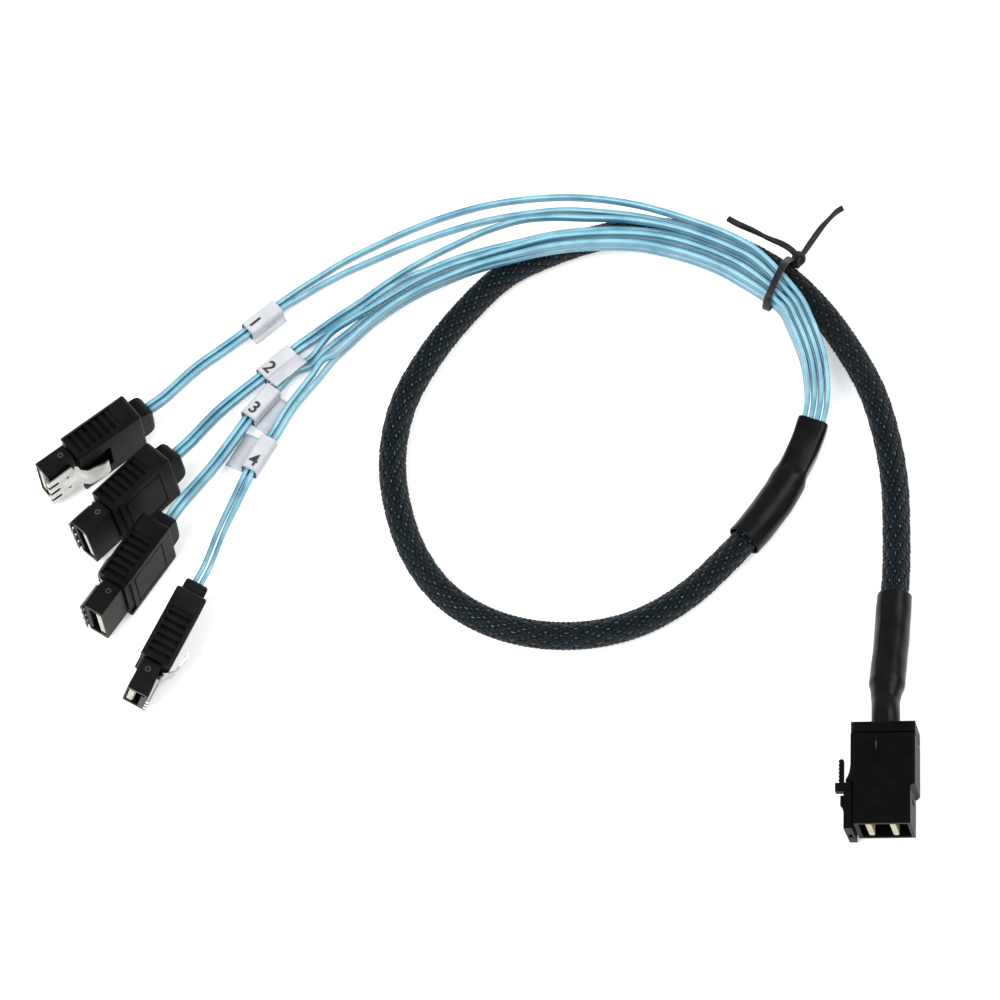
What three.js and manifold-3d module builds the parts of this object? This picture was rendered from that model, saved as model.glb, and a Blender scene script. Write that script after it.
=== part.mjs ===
// Breakout cable: a two-card host plug with a side latch, a braided sleeve, a heat-shrink where the sleeve
// ends, eight flat wires in four labelled pairs, and four latching drive plugs. It lies in one open loop.
// Millimetres, +Z up. The host plug points to -Y, the drive plugs lie at the -X end.

import * as THREE from 'three';
import { mergeVertices } from 'three/addons/utils/BufferGeometryUtils.js';
import Module from 'manifold-3d';

const wasm = await Module();
wasm.setup();

// Driving dimensions

const GAP = 0.3;

const DRIVE = {
  collarLength: 3.0, collarThick: 4.4, collarWide: 7.6,
  length: 17.6, thick: 6.0, wide: 13.2, chamfer: 0.6, corner: 1.6,
  ribs: 6, ribPitch: 1.55, ribStart: 8.1, ribGroove: 0.75, ribDepth: 0.7,
  collarCorner: 1.0, rearCorner: 0.8,
  noseLength: 6.5, noseLow: -2.2, noseHigh: 1.95, noseFall: 0.6, noseWide: 10.7,
  wireRise: 0.8,
};
const CLIP = {
  sheet: 0.3, wide: 8.6, neck: 6.2, ear: 8.2, tipWide: 4.0, leaf: 5.1, leafRise: 4.8, window: 6.8, fold: 0.6,
  slots: 3, slotPitch: 2.4, slotWide: 0.8, slotLength: 1.7,
};
const HOST = {
  length: 18.8, wide: 11.4, high: 10.8, cap: 2.0, shell: 12.0, step: 0.8, wall: 0.8,
  narrowing: 0.5, flareEnd: 10.95, cardY: [-2.65, 1.68], card: 1.0, cardTop: 4.1, cardLow: -3.6,
};
const LATCH = {
  barLength: 1.55, barOut: 8.45, padLength: 4.3, padThick: 0.6, padOuter: 7.6, low: 3.0, high: 5.0,
  rail: 1.4, railHalf: 5.2, foot: 0.8,
};
const WIRE = { thick: 0.9, high: 1.7, pitch: 1.2, row: 2.05, steps: 52 };
const SLEEVE = { diameter: 5.4, sides: 12, steps: 60 };
const LABEL = { sheet: 0.25, length: 7.8, room: 0.42 };
const TIE = { sheet: 0.5, wide: 1.6 };

// Where each drive plug lies: the collar's rear on the floor plan, its heading, roll and pitch in degrees.
// A turned plug lies on its other side, with the clip to the right of its heading.

const DRIVE_PLACES = [
  { at: [-61.1, 41.5], heading: 219.7, roll: 0, pitch: 0, turned: false },
  { at: [-55.3, 31.7], heading: 227, roll: 8, pitch: 0, turned: true },
  { at: [-56.0, 18.5], heading: 238, roll: 1, pitch: 0, turned: true },
  { at: [-50.3, 4.6], heading: 244.5, roll: -15, pitch: 4, turned: false },
];
const HOST_PLACE = { at: [74.5, -23.8], heading: 267.5, roll: 12, pitch: 6 };

// Routes, from the host plug to the drive plugs

const BOOT_ROUTE = [
  [74.9, -18.0, 7.8], [75.6, -13.6, 6.7], [76.3, -9.2, 5.7], [77.0, -4.9, 4.8], [77.6, -0.5, 4.0],
  [78.2, 4.4, 3.4],
];
const SLEEVE_ROUTE = [
  [75.6, -13.6, 6.7], [76.3, -9.2, 5.7], [77.0, -4.9, 4.8], [77.6, -0.5, 4.0], [78.2, 4.4, 3.4],
  [78.9, 10.1, 2.9], [79.4, 18.4, 2.8], [79.6, 27.8, 2.8], [78.7, 37.3, 2.8], [76.4, 47.6, 2.8],
  [72.4, 56.7, 2.8], [67.0, 65.4, 3.1], [60.1, 72.8, 3.7], [51.2, 79.0, 3.1], [41.7, 82.7, 2.8],
  [32.7, 83.2, 2.8], [23.9, 81.5, 2.8], [14.7, 78.0, 2.8], [6.5, 73.4, 2.8], [-1.3, 65.1, 2.8],
  [-8.3, 55.0, 2.8], [-13.2, 44.6, 2.8], [-15.0, 33.5, 2.8], [-14.0, 23.6, 2.8], [-10.7, 13.5, 2.8],
  [-5.1, 5.3, 2.8], [2.5, 0.0, 2.8], [11.7, -2.8, 2.8], [21.9, -2.9, 2.8], [31.1, -0.4, 2.8],
  [39.5, 4.6, 3.0], [46.7, 11.4, 3.2], [53.3, 18.9, 3.5], [59.5, 28.3, 3.5],
];
const SHRINK_ROUTE = [
  [50.8, 15.9, 3.4], [53.3, 18.9, 3.5], [57.3, 24.5, 3.5], [60.4, 30.2, 3.5], [62.8, 35.2, 3.5],
  [64.6, 40.2, 3.7],
];
const BUNDLE_ROUTE = [
  [61.1, 31.5, 3.5], [62.8, 35.2, 3.5], [64.6, 40.2, 3.7], [65.5, 44.2, 4.4], [65.6, 47.7, 5.4],
  [65.1, 52.0, 6.7], [64.0, 55.8, 7.7], [62.5, 59.8, 8.4], [60.9, 63.6, 8.5],
];
const FAN_ROUTES = {
  '1a': [
    [55.4, 74.5, 9.3], [51.7, 77.5, 9.0], [47.9, 79.6, 9.0], [44.1, 81.2, 9.0], [38.7, 83.3, 9.0],
    [32.5, 85.6, 8.5], [24.8, 88.0, 6.9], [17.3, 89.8, 4.6], [9.2, 90.2, 2.9], [1.4, 89.4, 1.7],
    [-6.5, 87.0, 1.2], [-13.2, 84.0, 1.1], [-19.5, 80.6, 1.1], [-25.0, 77.3, 1.2], [-29.4, 74.1, 1.3],
    [-33.6, 70.8, 1.6],
  ],
  '1b': [
    [55.6, 74.5, 7.2], [51.8, 77.2, 6.9], [48.0, 79.2, 6.9], [44.2, 80.8, 6.9], [38.8, 82.5, 6.9],
    [32.6, 84.1, 6.7], [24.9, 85.8, 5.6], [17.3, 87.1, 4.1], [9.2, 87.0, 2.6], [1.4, 85.9, 1.6],
    [-6.5, 83.5, 1.1], [-13.1, 80.7, 1.1], [-19.4, 77.6, 1.1], [-25.0, 74.7, 1.1], [-29.4, 71.9, 1.3],
    [-33.6, 68.8, 1.6],
  ],
  '2a': [
    [53.9, 73.2, 9.2], [50.1, 75.7, 9.0], [45.5, 77.9, 9.0], [40.2, 80.0, 8.9], [34.4, 81.5, 8.8],
    [28.2, 82.6, 8.4], [21.8, 83.3, 7.6], [15.1, 84.1, 6.5], [9.2, 84.2, 5.2], [2.4, 82.7, 3.6],
    [-3.5, 80.2, 2.6], [-8.4, 77.8, 1.9], [-12.7, 75.3, 1.4], [-17.1, 72.2, 1.1], [-21.9, 68.2, 1.1],
    [-26.7, 64.5, 1.2], [-30.5, 61.2, 1.5],
  ],
  '2b': [
    [53.6, 73.1, 7.1], [49.9, 75.5, 6.9], [45.3, 77.7, 6.9], [40.3, 79.5, 6.9], [34.5, 80.7, 6.9],
    [28.2, 81.1, 6.9], [21.8, 80.8, 6.9], [15.0, 80.1, 6.5], [9.2, 79.2, 5.4], [2.4, 78.2, 3.9],
    [-3.5, 76.9, 2.7], [-8.4, 75.1, 1.9], [-12.6, 73.5, 1.4], [-17.1, 70.6, 1.1], [-21.9, 66.5, 1.1],
    [-26.6, 62.8, 1.2], [-30.4, 59.5, 1.5],
  ],
  '3a': [
    [52.5, 71.2, 9.1], [48.5, 73.8, 9.0], [43.9, 75.9, 9.0], [38.6, 77.7, 9.0], [32.4, 78.8, 9.0],
    [26.6, 79.0, 9.0], [20.8, 78.7, 9.0], [14.6, 77.9, 9.0], [8.2, 76.3, 8.5], [1.4, 74.9, 7.0],
    [-4.8, 73.6, 5.3], [-10.2, 71.6, 4.0], [-15.0, 68.8, 3.4], [-19.8, 65.6, 3.2], [-23.7, 63.0, 3.2],
    [-27.1, 60.6, 2.8], [-29.5, 58.0, 1.7], [-31.3, 55.5, 1.5],
  ],
  '3b': [
    [52.2, 71.3, 7.1], [48.3, 73.9, 6.9], [43.7, 76.0, 6.9], [38.3, 77.8, 6.9], [32.5, 78.9, 6.9],
    [26.7, 79.1, 6.9], [20.8, 78.7, 6.9], [14.6, 77.9, 6.9], [8.2, 76.4, 6.5], [1.4, 75.0, 5.0],
    [-4.8, 73.7, 3.2], [-10.3, 71.7, 2.0], [-15.1, 68.9, 1.3], [-19.9, 65.5, 1.1], [-23.7, 61.8, 1.1],
    [-27.1, 58.6, 1.2], [-29.4, 56.1, 1.4], [-31.0, 53.8, 1.6],
  ],
  '4a': [
    [51.1, 69.6, 9.1], [47.3, 72.0, 9.0], [42.7, 74.0, 9.0], [37.7, 75.6, 9.0], [32.4, 76.8, 9.0],
    [26.6, 77.1, 9.0], [20.8, 76.9, 9.0], [14.6, 76.0, 9.0], [8.2, 74.3, 9.0], [1.4, 72.7, 8.0],
    [-4.7, 70.9, 6.4], [-10.2, 68.9, 5.0], [-15.0, 66.3, 4.0], [-19.8, 62.5, 3.4], [-23.6, 58.7, 3.2],
    [-26.6, 55.6, 3.3], [-28.8, 54.1, 3.4], [-30.7, 51.2, 2.8],
  ],
  '4b': [
    [50.8, 69.6, 7.1], [47.0, 72.1, 6.9], [42.5, 74.1, 6.9], [37.5, 75.7, 6.9], [32.4, 76.9, 6.9],
    [26.6, 77.2, 6.9], [20.8, 77.0, 6.9], [14.6, 76.1, 6.9], [8.2, 74.4, 6.9], [1.4, 72.8, 6.0],
    [-4.8, 71.0, 4.4], [-10.2, 69.0, 3.0], [-15.1, 66.3, 2.0], [-19.9, 62.6, 1.4], [-23.6, 58.7, 1.2],
    [-26.7, 55.4, 1.1], [-29.1, 51.6, 1.5], [-30.7, 48.9, 2.4],
  ],
};
const PAIR_ROUTES = [
  [[-37.1, 66.6, 2.5], [-40.3, 63.7, 2.5], [-43.5, 60.7, 2.5], [-48.1, 56.4, 3.1], [-52.5, 52.1, 4.1]],
  [[-33.2, 57.6, 2.5], [-36.4, 54.6, 2.5], [-39.7, 51.5, 2.5], [-44.0, 47.3, 2.9], [-47.9, 43.0, 3.7]],
  [[-34.4, 52.4, 2.3], [-37.0, 49.3, 2.4], [-39.7, 45.8, 2.5], [-42.3, 42.2, 2.6], [-45.5, 36.7, 3.1],
    [-48.9, 30.7, 4.1]],
  [[-34.5, 44.5, 2.5], [-37.5, 38.7, 2.5], [-39.9, 34.7, 2.5], [-42.0, 30.3, 2.8],
    [-44.2, 24.2, 3.6], [-46.3, 18.0, 4.9]],
];

// Solids and outlines

function solid(geometry) {
  const bare = new THREE.BufferGeometry();
  bare.setAttribute('position', geometry.getAttribute('position'));
  if (geometry.index) bare.setIndex(geometry.index);
  const merged = mergeVertices(bare, 1e-4);
  return new wasm.Manifold(new wasm.Mesh({
    numProp: 3,
    vertProperties: new Float32Array(merged.getAttribute('position').array),
    triVerts: new Uint32Array(merged.index.array),
  }));
}

function geometryOf(body) {
  const mesh = body.getMesh();
  const geometry = new THREE.BufferGeometry();
  geometry.setAttribute('position', new THREE.BufferAttribute(new Float32Array(mesh.vertProperties), 3));
  geometry.setIndex(new THREE.BufferAttribute(new Uint32Array(mesh.triVerts), 1));
  geometry.computeVertexNormals();
  return geometry;
}

function join(...bodies) {
  return bodies.reduce((sum, body) => sum.add(body));
}

function cut(body, ...tools) {
  return tools.reduce((rest, tool) => rest.subtract(tool), body);
}

function block(x0, x1, y0, y1, z0, z1) {
  const geometry = new THREE.BoxGeometry(x1 - x0, y1 - y0, z1 - z0);
  geometry.translate((x0 + x1) / 2, (y0 + y1) / 2, (z0 + z1) / 2);
  return solid(geometry);
}

function shapeOf(outline) {
  return new THREE.Shape(outline.map(([a, b]) => new THREE.Vector2(a, b)));
}

function extruded(outline, from, to) {
  const geometry = new THREE.ExtrudeGeometry(shapeOf(outline), { depth: to - from, bevelEnabled: false });
  return geometry.translate(0, 0, from);
}

// An outline in x and y, drawn out along z.
function alongZ(outline, from, to) {
  return solid(extruded(outline, from, to));
}

// An outline in y and z, drawn out along x.
function alongX(outline, from, to) {
  const turn = new THREE.Matrix4().set(0, 0, 1, 0, 1, 0, 0, 0, 0, 1, 0, 0, 0, 0, 0, 1);
  return solid(extruded(outline, from, to).applyMatrix4(turn));
}

// An outline in z and x, drawn out along y.
function alongY(outline, from, to) {
  const turn = new THREE.Matrix4().set(0, 1, 0, 0, 0, 0, 1, 0, 1, 0, 0, 0, 0, 0, 0, 1);
  return solid(extruded(outline, from, to).applyMatrix4(turn));
}

function chamfered(a0, a1, b0, b1, c) {
  return [
    [a0 + c, b0], [a1 - c, b0], [a1, b0 + c], [a1, b1 - c],
    [a1 - c, b1], [a0 + c, b1], [a0, b1 - c], [a0, b0 + c],
  ];
}

// A plate seen from its wide face: z across, x along, with its two rear corners rounded.
function roundedRear(half, x0, x1, r) {
  const outline = [[-half, x1]];
  for (let i = 0; i <= 4; i += 1) {
    const t = (i / 4) * Math.PI / 2;
    outline.push([-half + r - r * Math.cos(t), x0 + r - r * Math.sin(t)]);
  }
  for (let i = 0; i <= 4; i += 1) {
    const t = (i / 4) * Math.PI / 2;
    outline.push([half - r + r * Math.sin(t), x0 + r - r * Math.cos(t)]);
  }
  outline.push([half, x1]);
  return outline;
}

// The same plate seen along z: x along, y across.
function turnedPlan(outline) {
  return outline.map(([across, along]) => [along, -across]);
}

// Curves and lofted skins

const UP = new THREE.Vector3(0, 0, 1);

function sideOf(tangent) {
  return new THREE.Vector3().crossVectors(UP, tangent).normalize();
}

// A route whose section stays on edge, apart from a roll that comes in over its last part.
class Route extends THREE.CatmullRomCurve3 {
  constructor(points, endRoll = 0) {
    super(points, false, 'centripetal');
    this.endRoll = THREE.MathUtils.degToRad(endRoll);
    this.arcLengthDivisions = 600;
  }

  computeFrenetFrames(segments) {
    const tangents = [];
    const normals = [];
    const binormals = [];
    for (let i = 0; i <= segments; i += 1) {
      const u = i / segments;
      const tangent = this.getTangentAt(u).normalize();
      const roll = this.endRoll * THREE.MathUtils.smoothstep(u, 0.85, 0.97);
      const normal = sideOf(tangent).applyAxisAngle(tangent, roll);
      tangents.push(tangent);
      normals.push(normal);
      binormals.push(new THREE.Vector3().crossVectors(tangent, normal));
    }
    return { tangents, normals, binormals };
  }
}

function route(points, endRoll) {
  return new Route(points.map((p) => (p.isVector3 ? p : new THREE.Vector3(...p))), endRoll);
}

function drawnAlong(outline, path, steps) {
  return new THREE.ExtrudeGeometry(shapeOf(outline), { extrudePath: path, steps, bevelEnabled: false });
}

function roundOutline(radius, sides) {
  const outline = [];
  for (let i = 0; i < sides; i += 1) {
    const t = (i / sides) * 2 * Math.PI;
    outline.push([radius * Math.cos(t), radius * Math.sin(t)]);
  }
  return outline;
}

// Sixteen points round a rectangle with rounded corners; a circle where both half sizes equal the corner.
function roundedRing(halfSide, halfUp, corner) {
  const points = [];
  const signs = [[1, 1], [-1, 1], [-1, -1], [1, -1]];
  signs.forEach(([sx, sy], quarter) => {
    for (let i = 0; i < 4; i += 1) {
      const t = (quarter + (i + 0.5) / 4) * Math.PI / 2;
      const across = sx * (halfSide - corner) + corner * Math.cos(t);
      const rise = sy * (halfUp - corner) + corner * Math.sin(t);
      points.push([across, rise]);
    }
  });
  return points;
}

// A skin through rings of points; the last ring joins the first, so that a two-sided wall closes on itself.
function skin(rings) {
  const count = rings[0].length;
  const positions = rings.flat().flatMap((p) => [p.x, p.y, p.z]);
  const index = [];
  for (let i = 0; i < rings.length; i += 1) {
    const next = (i + 1) % rings.length;
    for (let j = 0; j < count; j += 1) {
      const k = (j + 1) % count;
      const a = i * count + j;
      const b = i * count + k;
      const c = next * count + k;
      const d = next * count + j;
      index.push(a, b, c, a, c, d);
    }
  }
  const geometry = new THREE.BufferGeometry();
  geometry.setAttribute('position', new THREE.BufferAttribute(new Float32Array(positions), 3));
  geometry.setIndex(index);
  geometry.computeVertexNormals();
  return geometry;
}

// A heat-shrink: stations along a route, each with the outer and inner half sizes and corners of its wall.
function shrinkTube(path, stations) {
  const ringAt = (along, size) => {
    const centre = path.getPointAt(along);
    const tangent = path.getTangentAt(along).normalize();
    const side = sideOf(tangent);
    const up = new THREE.Vector3().crossVectors(tangent, side);
    const ring = roundedRing(...size);
    return ring.map(([s, t]) => centre.clone().addScaledVector(side, s).addScaledVector(up, t));
  };
  const outer = stations.map(({ along, outside }) => ringAt(along, outside));
  const inner = stations.map(({ along, inside }) => ringAt(along, inside)).reverse();
  return skin([...outer, ...inner]);
}

// Pieces

const group = new THREE.Group();
group.name = 'breakout_cable';

function piece(name, geometry, colour, roughness, metalness, parent = group) {
  const material = new THREE.MeshStandardMaterial({ color: colour, roughness, metalness });
  const mesh = new THREE.Mesh(geometry, material);
  mesh.name = name;
  parent.add(mesh);
  return mesh;
}

function place(plug, { at, heading, roll, pitch }) {
  const angle = THREE.MathUtils.degToRad;
  plug.rotation.set(angle(roll), angle(pitch), angle(heading), 'ZYX');
  plug.position.set(at[0], at[1], 0);
  plug.updateMatrixWorld(true);
  const box = new THREE.Box3().setFromObject(plug, true);
  plug.position.z -= box.min.z;
  plug.updateMatrixWorld(true);
}

// Drive plug. Local frame: x from the collar's rear to the nose tip, y across its thickness, z across its
// wide face. The clip lies on the +y side.

const tip = DRIVE.length + DRIVE.noseLength;

function overmould(wireRise) {
  const halfThick = DRIVE.thick / 2;
  const halfWide = DRIVE.wide / 2;
  const start = DRIVE.collarLength;
  const end = DRIVE.length;
  const plan = roundedRear(halfWide, start, end, DRIVE.corner);
  const section = chamfered(-halfThick, halfThick, -halfWide, halfWide, DRIVE.chamfer);
  const back = turnedPlan(roundedRear(halfThick, start, end, DRIVE.rearCorner));
  const body = alongY(plan, -halfThick, halfThick).intersect(alongX(section, start, end))
    .intersect(alongZ(back, -halfWide, halfWide));
  const collarPlan = roundedRear(DRIVE.collarWide / 2, 0, start + 1, 2.2);
  const collarBack = turnedPlan(roundedRear(DRIVE.collarThick / 2, 0, start + 1, DRIVE.collarCorner));
  const collar = alongY(collarPlan, -DRIVE.collarThick / 2, DRIVE.collarThick / 2)
    .intersect(alongZ(collarBack, -halfWide, halfWide));
  const tools = [];
  const grooveHalf = halfThick - 0.8;
  for (const side of [-1, 1]) {
    const rim = side * halfWide;
    const strip = [rim - side * 0.3, rim + side].sort((a, b) => a - b);
    tools.push(block(DRIVE.ribStart - 0.9, end + 1, -grooveHalf, grooveHalf, ...strip));
    for (let i = 0; i < DRIVE.ribs; i += 1) {
      const x = DRIVE.ribStart + i * DRIVE.ribPitch;
      const groove = [rim - side * DRIVE.ribDepth - side * 0.3, rim + side].sort((a, b) => a - b);
      tools.push(block(x, x + DRIVE.ribGroove, -grooveHalf, grooveHalf, ...groove));
    }
  }
  const slotHalf = { y: WIRE.pitch / 2 + WIRE.thick / 2 + GAP, z: WIRE.high / 2 + GAP };
  tools.push(block(-1, 1.8, -slotHalf.y, slotHalf.y, wireRise - slotHalf.z, wireRise + slotHalf.z));
  tools.push(block(end - 3, end + 1, -1.9, 0.7, -4.5, 4.5));
  const halfWindow = CLIP.neck / 2 + 0.1;
  tools.push(block(end - CLIP.window, end + 1, 1.2, halfThick + 1, -halfWindow, halfWindow));
  const frame = block(6.2, 15.0, -halfThick - 1, -halfThick + 0.2, -4.6, 4.6);
  const inside = block(6.5, 14.7, -halfThick - 2, -halfThick + 1, -4.3, 4.3);
  tools.push(cut(frame, inside));
  tools.push(block(end - 1.5, end + 1, -halfThick - 1, -halfThick + 0.3, -5.2, 5.2));
  return geometryOf(cut(join(body, collar), ...tools));
}

function nose() {
  const start = DRIVE.length + GAP;
  const halfWide = DRIVE.noseWide / 2;
  const main = alongX(chamfered(DRIVE.noseLow, DRIVE.noseHigh, -halfWide, halfWide, 0.3), start, tip);
  const fall = alongZ([
    [start - 1, DRIVE.noseHigh - DRIVE.noseFall], [tip - 1.5, DRIVE.noseHigh],
    [tip - 1.5, DRIVE.noseHigh + 1], [start - 1, DRIVE.noseHigh + 1],
  ], -halfWide - 1, halfWide + 1);
  const tenon = block(start - 3, start + 0.5, -1.6, 0.4, -4.2, 4.2);
  const slot = block(start + 1.1, tip + 1, -0.55, 0.8, -4.5, 4.5);
  const bed = block(start + 1.1, tip + 1, DRIVE.noseLow + 0.3, -0.4, -4.2, 4.2);
  const key = block(start + 3.1, tip + 1, 0, 1.4, 3.4, 4.5);
  return geometryOf(cut(join(main, tenon), fall, slot, bed, key));
}

function contacts() {
  const rear = DRIVE.length + GAP + 1.4;
  const wafer = block(rear, tip - 0.2, DRIVE.noseLow + 0.3 + 0.25, -0.6, -3.9, 3.9);
  const strips = [];
  for (let i = 0; i < 7; i += 1) {
    const z = (i - 3) * 1.15;
    strips.push(block(rear + 0.4, tip - 0.4, -0.7, -0.4, z - 0.28, z + 0.28));
  }
  return geometryOf(join(wafer, ...strips));
}

// The clip's sheet seen from its edge: the folded front, the plate on the nose, and the leaf that springs
// out. Then its outline seen from its face: a slotted front, a neck with two ears, and a leaf that narrows.
function clip() {
  const t = CLIP.sheet;
  const end = DRIVE.length;
  const top = DRIVE.noseHigh + GAP + t;
  const front = tip + GAP + t;
  const rise = CLIP.leafRise;
  const last = end - CLIP.leaf;
  const sheet = [
    [front, top - CLIP.fold], [front, top - 0.15], [front - 0.15, top], [end + 1.1, top],
    [end + 0.75, top + 0.15], [end - 0.5, rise - 0.75], [end - 1.0, rise - 0.55], [last + 0.9, rise],
    [last, rise - 0.25], [last, rise - 0.25 - t], [last + 0.9, rise - t], [end - 1.05, rise - 0.55 - t],
    [end - 0.65, rise - 0.75 - t], [end + 0.6, top + 0.15 - t], [end + 1.0, top - t],
    [front - t, top - t], [front - t, top - CLIP.fold],
  ];
  const halfNeck = CLIP.neck / 2;
  const halfEar = CLIP.ear / 2;
  const half = [
    [CLIP.wide / 2, front], [CLIP.wide / 2, end + 1.6], [halfNeck, end + 1.3], [halfEar - 0.2, end + 1.15],
    [halfEar, end + 0.85], [halfEar - 0.2, end + 0.5], [halfNeck - 0.3, end + GAP],
    [halfNeck - 0.5, end - 2], [CLIP.tipWide / 2, last],
  ];
  const plan = [...half, ...half.map(([across, along]) => [-across, along]).reverse()];
  const tools = [];
  for (let i = 0; i < CLIP.slots; i += 1) {
    const z = (i - (CLIP.slots - 1) / 2) * CLIP.slotPitch;
    const r = CLIP.slotWide / 2;
    const rear = tip - CLIP.slotLength;
    tools.push(alongY([
      [z - r, front + 1], [z - r, rear + r], [z - 0.5 * r, rear + 0.15 * r], [z, rear],
      [z + 0.5 * r, rear + 0.15 * r], [z + r, rear + r], [z + r, front + 1],
    ], 0, top + 1));
  }
  for (const side of [-1, 1]) {
    const z = side * 1.95;
    tools.push(block(tip - 3.9, tip - 3.3, 0, top + 1, z - 0.25, z + 0.25));
  }
  const body = alongZ(sheet, -halfEar - 1, halfEar + 1).intersect(alongY(plan, 0, rise + 1));
  return geometryOf(cut(body, ...tools));
}

const drives = DRIVE_PLACES.map((spot, i) => {
  const plug = new THREE.Group();
  const name = `drive_${i + 1}`;
  const wireRise = spot.turned ? -DRIVE.wireRise : DRIVE.wireRise;
  piece(`${name}_overmould`, overmould(wireRise), 0x1b1b1d, 0.55, 0, plug);
  piece(`${name}_nose`, nose(), 0x18181a, 0.4, 0, plug);
  piece(`${name}_contacts`, contacts(), 0xd8d2c4, 0.4, 0, plug);
  piece(`${name}_clip`, clip(), 0xc4c6c8, 0.25, 1, plug);
  group.add(plug);
  place(plug, { ...spot, roll: spot.roll + (spot.turned ? 180 : 0) });
  return plug;
});

// Host plug. Local frame: x from the cap's rear to the mating face, y to the left of its heading, z up.
// The latch lies on the -y side.

const halfWide = HOST.wide / 2;
const halfHigh = HOST.high / 2;

function housing() {
  const start = HOST.cap + GAP;
  const narrow = halfWide - HOST.narrowing;
  const flare = HOST.flareEnd;
  const plan = [
    [start, -halfWide], [flare - 2.9, -halfWide], [flare - 1.7, -halfWide - 0.15],
    [flare - 0.8, -halfWide - 0.45], [flare - 0.2, -halfWide - 0.9], [flare, -halfWide - 0.9],
    [flare, -narrow], [HOST.length, -narrow],
    [HOST.length, halfWide - HOST.step], [HOST.shell, halfWide - HOST.step],
    [HOST.shell - 0.5, halfWide], [start, halfWide],
  ];
  const outer = alongZ(plan, -halfHigh, halfHigh).intersect(
    alongX(chamfered(-halfWide - 1, halfWide, -halfHigh, halfHigh, 0.45), start, HOST.length));
  const mouth = block(9, HOST.length + 1, -narrow + HOST.wall, halfWide - HOST.step - 0.6,
    -halfHigh + HOST.wall, halfHigh - HOST.wall);
  const slots = HOST.cardY.map((y) => block(7, 10, y - HOST.card / 2 - GAP, y + HOST.card / 2 + GAP,
    HOST.cardLow - GAP, HOST.cardTop + GAP));
  const groove = block(HOST.shell + 1.5, HOST.shell + 2.1, halfWide - HOST.step - 0.2, halfWide, -2.5, 2.5);
  return geometryOf(cut(outer, mouth, groove, ...slots));
}

function rearCap() {
  const plan = roundedRear(halfHigh, 0, HOST.cap, 0.7);
  const section = chamfered(-halfWide, halfWide, -halfHigh, halfHigh, 0.6);
  const body = alongY(plan, -halfWide, halfWide).intersect(alongX(section, 0, HOST.cap));
  const bore = alongX(roundOutline(2.95, 20), -1, 1.4);
  return geometryOf(cut(body, bore));
}

function card(y) {
  const half = HOST.card / 2;
  const end = [
    [y - half, HOST.cardTop], [y - half, HOST.cardLow + half], [y - 0.7 * half, HOST.cardLow + 0.3 * half],
    [y, HOST.cardLow], [y + 0.7 * half, HOST.cardLow + 0.3 * half], [y + half, HOST.cardLow + half],
    [y + half, HOST.cardTop],
  ];
  return geometryOf(alongX(end, 7.3, HOST.length - 0.1));
}

function latch() {
  const barStart = HOST.flareEnd + GAP;
  const barEnd = barStart + LATCH.barLength;
  const railIn = halfWide - HOST.narrowing + GAP;
  const railOut = railIn + LATCH.rail;
  const railEnd = HOST.length + LATCH.foot;
  const { low, high, padOuter } = LATCH;
  const padStart = barStart - LATCH.padLength;
  const bar = block(barStart, barEnd, -LATCH.barOut, -railIn - 0.6, low, high);
  const pad = block(padStart, barStart + 0.3, -padOuter, -padOuter + LATCH.padThick, low, high);
  const ribs = [];
  for (let i = 0; i < 6; i += 1) {
    const x = padStart + 0.15 + i * 0.7;
    ribs.push(block(x, x + 0.35, -padOuter - 0.22, -padOuter + 0.1, low, high));
  }
  const rail = block(barStart, railEnd, -railOut, -railIn, -LATCH.railHalf, LATCH.railHalf);
  const bump = block(barEnd + 0.8, barEnd + 2.6, -railOut - 0.6, -railOut + 0.1, low + 0.6, high);
  const wedge = alongZ([
    [barEnd + 2.5, -railOut + 0.1], [barEnd + 2.5, -railOut - 0.45], [barEnd + 3.6, -railOut - 0.1],
    [barEnd + 3.6, -railOut + 0.1],
  ], low + 0.6, high - 0.4);
  const recess = block(railEnd - 0.35, railEnd + 1, -railOut + 0.35, -railIn - 0.35, -1.6, 0.6);
  return geometryOf(cut(join(bar, pad, rail, bump, wedge, ...ribs), recess));
}

const host = new THREE.Group();
piece('plug_housing', housing(), 0x1c1c1e, 0.5, 0, host);
piece('plug_rear_cap', rearCap(), 0x1a1a1c, 0.5, 0, host);
piece('plug_card_1', card(HOST.cardY[0]), 0xd6cfa8, 0.5, 0, host);
piece('plug_card_2', card(HOST.cardY[1]), 0xd6cfa8, 0.5, 0, host);
piece('plug_latch', latch(), 0x202022, 0.5, 0, host);
group.add(host);
place(host, HOST_PLACE);

// The boot's wall narrows from the end of the sleeve to the bundle of wires that enters the cap.

const bootPath = route([
  new THREE.Vector3(1.0, 0, 0).applyMatrix4(host.matrixWorld),
  new THREE.Vector3(-2.5, 0, 0).applyMatrix4(host.matrixWorld),
  ...BOOT_ROUTE,
]);
const sleeveInner = SLEEVE.diameter / 2 + GAP;
const bootStations = [
  [0, 2.55, 2.15], [0.22, 2.6, 2.2], [0.31, 2.95, 2.5], [0.335, 3.3, 3.0], [0.42, 3.35, 3.0],
  [0.55, 3.3, 3.0], [0.7, 3.3, 3.0], [0.85, 3.3, 3.0], [1, 3.3, 3.0],
].map(([along, out, inn]) => ({ along, outside: [out, out, out], inside: [inn, inn, inn] }));
piece('plug_boot', shrinkTube(bootPath, bootStations), 0x141416, 0.3, 0);

// Sleeve

const sleevePath = route(SLEEVE_ROUTE);
piece('braided_sleeve', drawnAlong(roundOutline(SLEEVE.diameter / 2, SLEEVE.sides), sleevePath, SLEEVE.steps),
  0x16181c, 0.6, 0);

// Heat-shrink where the sleeve ends and the wires come out

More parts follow.
